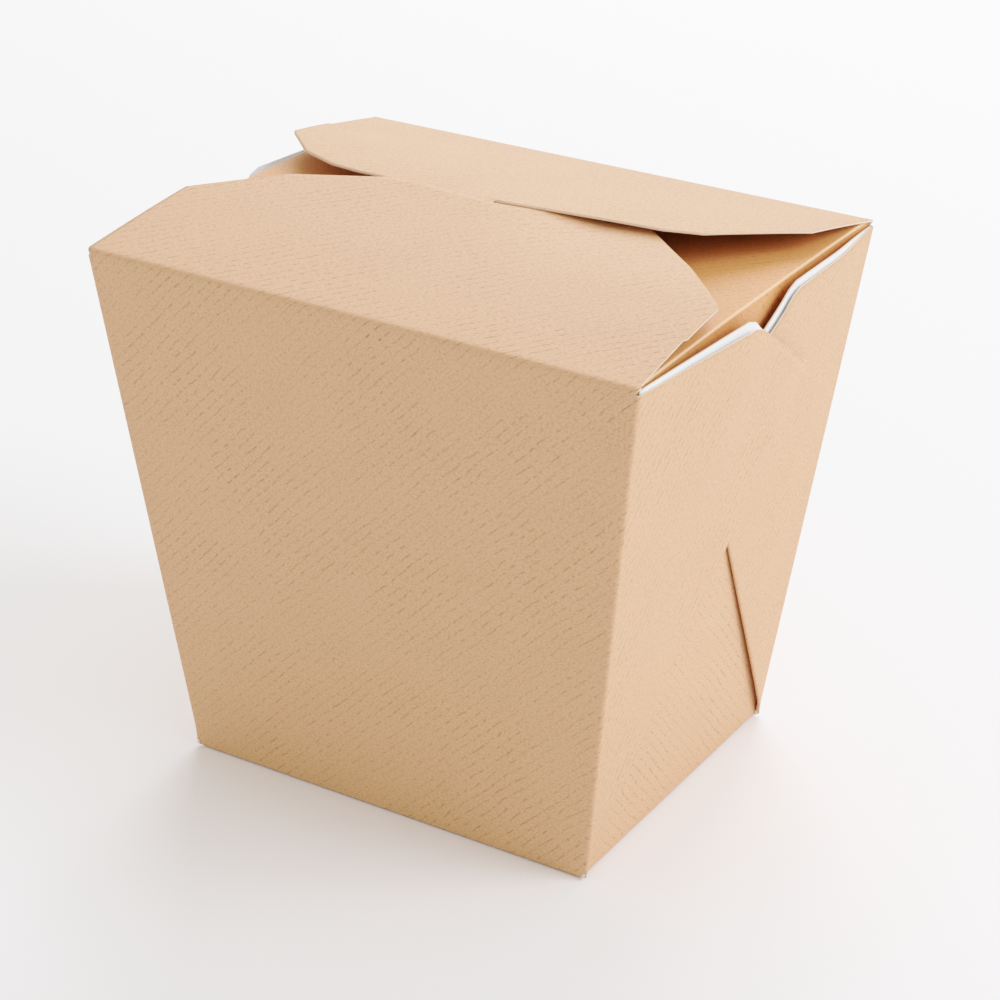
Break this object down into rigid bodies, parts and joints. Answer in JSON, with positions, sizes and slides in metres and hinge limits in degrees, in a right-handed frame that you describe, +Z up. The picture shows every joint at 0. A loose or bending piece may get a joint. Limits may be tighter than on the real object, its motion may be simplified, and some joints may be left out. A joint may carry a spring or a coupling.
{
  "type": "noodle takeaway box",
  "caption": "Shut kraft board takeaway carton with outward leaning walls, web corners folded onto both ends and two interlocking top flaps.",
  "frame": {"origin": "centre of the underside of the base", "axes": "+X along the front wall to the right, +Y from the front wall to the back wall, +Z up"},
  "size_m": [0.1134, 0.089, 0.1067],
  "materials": {
    "kraft_board": "matt brown kraft board, white on its inner side"
  },
  "bodies": {
    "root": {"carton": "kraft_board"}
  },
  "joints": []
}
